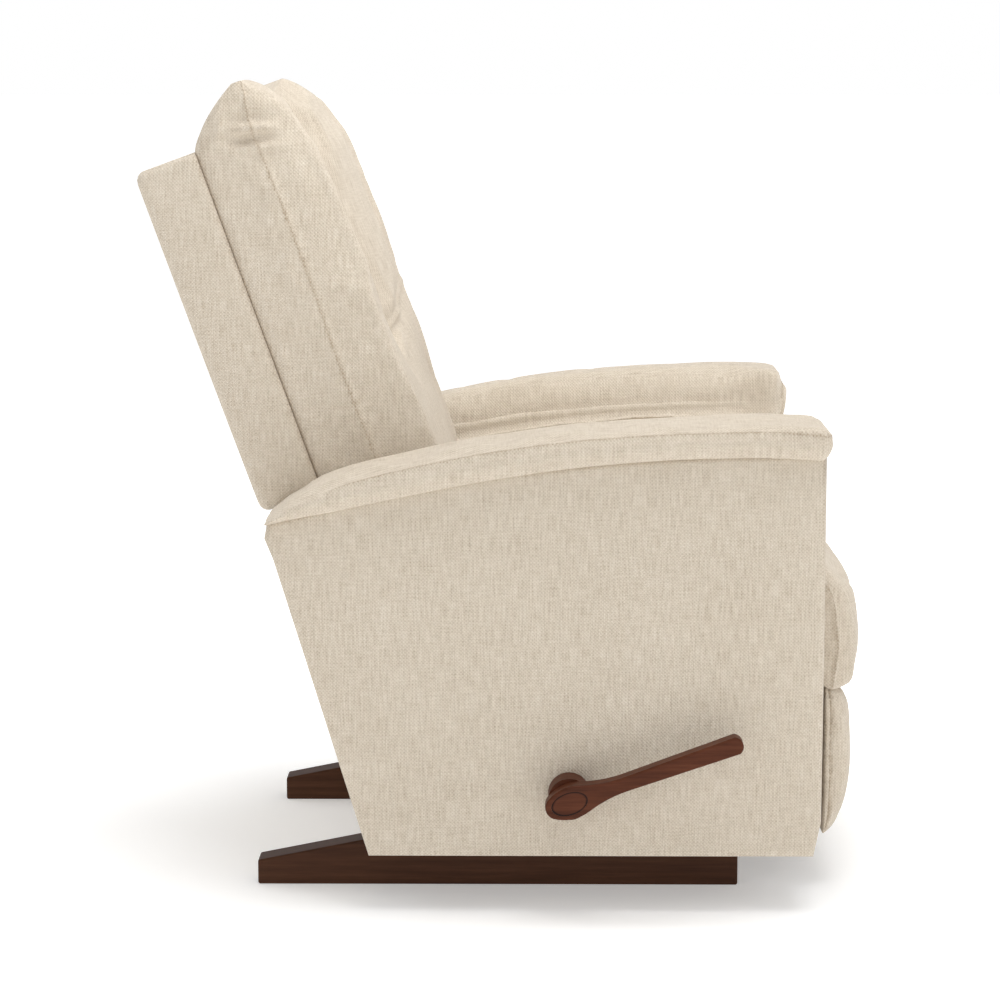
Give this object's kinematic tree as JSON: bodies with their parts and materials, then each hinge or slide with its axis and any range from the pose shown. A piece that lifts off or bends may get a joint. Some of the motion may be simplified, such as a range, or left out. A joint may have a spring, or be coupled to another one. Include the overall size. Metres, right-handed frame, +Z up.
{
  "type": "rocking recliner",
  "caption": "Upholstered rocking recliner with padded arms, pillowed back, swing-out leg rest worked by a wooden side lever, and a sprung rocking base on wooden runners.",
  "frame": {"origin": "floor point on the middle plane of the chair, under the line where the rocker cams meet the runners", "axes": "+X the way the sitter faces, +Y to the sitter's left, +Z up"},
  "size_m": [0.9455, 0.8533, 1.0701],
  "materials": {
    "runner_wood": "dark walnut stain, satin",
    "handle_wood": "walnut, satin lacquer",
    "frame_wood": "plain sawn hardwood and plywood",
    "upholstery": "cream linen weave with slubs",
    "batting": "white fibre filling",
    "steel": "black painted steel",
    "spring_steel": "oiled spring wire",
    "bush": "natural nylon"
  },
  "bodies": {
    "base": {"base_dowels": "frame_wood", "centre_stretcher": "frame_wood", "front_stretcher": "frame_wood", "rear_stretcher": "frame_wood", "rocker_springs": "spring_steel", "runner_left": "runner_wood", "runner_right": "runner_wood", "spring_seats_lower": "steel"},
    "drive": {"drive_shaft": "steel", "shaft_cranks": "steel", "handle_hub": "handle_wood", "handle_lever": "handle_wood", "handle_inset": "handle_wood"},
    "rods": {"drive_rods": "steel"},
    "rear_outer": {"rear_outer_links": "steel"},
    "rear_inner": {"rear_inner_links": "steel"},
    "front_outer": {"front_outer_links": "steel", "leg_tie_bar": "steel"},
    "front_inner": {"front_inner_links": "steel"},
    "leg_rest": {"leg_brackets": "steel", "leg_board": "frame_wood", "leg_pad": "upholstery"},
    "back": {"back_batting": "batting", "back_bracket_left": "steel", "back_bracket_right": "steel", "back_cover": "upholstery", "back_cushion": "upholstery", "back_lower_rail": "frame_wood", "back_posts": "frame_wood", "back_top_rail": "frame_wood"},
    "chassis": {"arm_cover_left": "upholstery", "arm_cover_right": "upholstery", "arm_end_boards_left": "frame_wood", "arm_end_boards_right": "frame_wood", "arm_inner_board_left": "frame_wood", "arm_inner_board_right": "frame_wood", "arm_outer_board_left": "frame_wood", "arm_outer_board_right": "frame_wood", "arm_pad_left": "upholstery", "arm_pad_right": "upholstery", "arm_top_board_left": "frame_wood", "arm_top_board_right": "frame_wood", "back_hinge_plates": "steel", "front_cross_rail": "frame_wood", "mechanism_plate_left": "steel", "mechanism_plate_right": "steel", "plate_bolts": "steel", "rear_cross_rail": "frame_wood", "rear_panel_board": "frame_wood", "rear_panel_cover": "upholstery", "rocker_cam_left": "frame_wood", "rocker_cam_right": "frame_wood", "seat_cushion": "upholstery", "seat_front_rail": "frame_wood", "seat_rear_rail": "frame_wood", "seat_side_rail_left": "frame_wood", "seat_side_rail_right": "frame_wood", "seat_springs": "spring_steel", "shaft_bushes": "bush", "spring_seats_upper": "steel"}
  },
  "joints": [
    {"name": "rock", "type": "hinge", "parent": "base", "child": "chassis", "pos_m": [0, 0, 0.062], "axis": [0, -1, 0], "range_deg": [-5, 8], "stiffness_Nm_per_rad": 900, "deforming": ["rocker_springs"]},
    {"name": "recline", "type": "hinge", "parent": "chassis", "child": "back", "pos_m": [-0.215, 0, 0.4], "axis": [0, -1, 0], "range_deg": [0, 30]},
    {"name": "handle_turn", "type": "hinge", "parent": "chassis", "child": "drive", "pos_m": [0.055, 0, 0.16], "axis": [0, -1, 0], "range_deg": [0, 75]},
    {"name": "rod_swing", "type": "hinge", "parent": "drive", "child": "rods", "pos_m": [0.05789, 0, 0.19438], "axis": [0, -1, 0], "range_deg": [-75.01, 0]},
    {"name": "rear_outer_swing", "type": "hinge", "parent": "chassis", "child": "rear_outer", "pos_m": [0.25, 0, 0.236], "axis": [0, -1, 0], "range_deg": [0, 68.01]},
    {"name": "rear_inner_swing", "type": "hinge", "parent": "rear_outer", "child": "rear_inner", "pos_m": [0.26715, 0, 0.1553], "axis": [0, -1, 0], "range_deg": [-136.01, 0]},
    {"name": "front_inner_swing", "type": "hinge", "parent": "rear_outer", "child": "front_inner", "pos_m": [0.28431, 0, 0.07461], "axis": [0, -1, 0], "range_deg": [-136.01, 0]},
    {"name": "front_outer_swing", "type": "hinge", "parent": "rear_inner", "child": "front_outer", "pos_m": [0.27003, 0, 0.23775], "axis": [0, -1, 0], "range_deg": [0, 136.01]},
    {"name": "leg_swing", "type": "hinge", "parent": "front_inner", "child": "leg_rest", "pos_m": [0.29006, 0, 0.23951], "axis": [0, -1, 0], "range_deg": [0, 158.01]}
  ],
  "couplings": [
    {"joint": "rod_swing", "follows": "handle_turn", "ratio": -1},
    {"joint": "rear_outer_swing", "follows": "handle_turn", "ratio": 0.90667},
    {"joint": "rear_inner_swing", "follows": "handle_turn", "ratio": -1.8133},
    {"joint": "front_inner_swing", "follows": "handle_turn", "ratio": -1.8133},
    {"joint": "front_outer_swing", "follows": "handle_turn", "ratio": 1.8133},
    {"joint": "leg_swing", "follows": "handle_turn", "ratio": 2.1067}
  ]
}
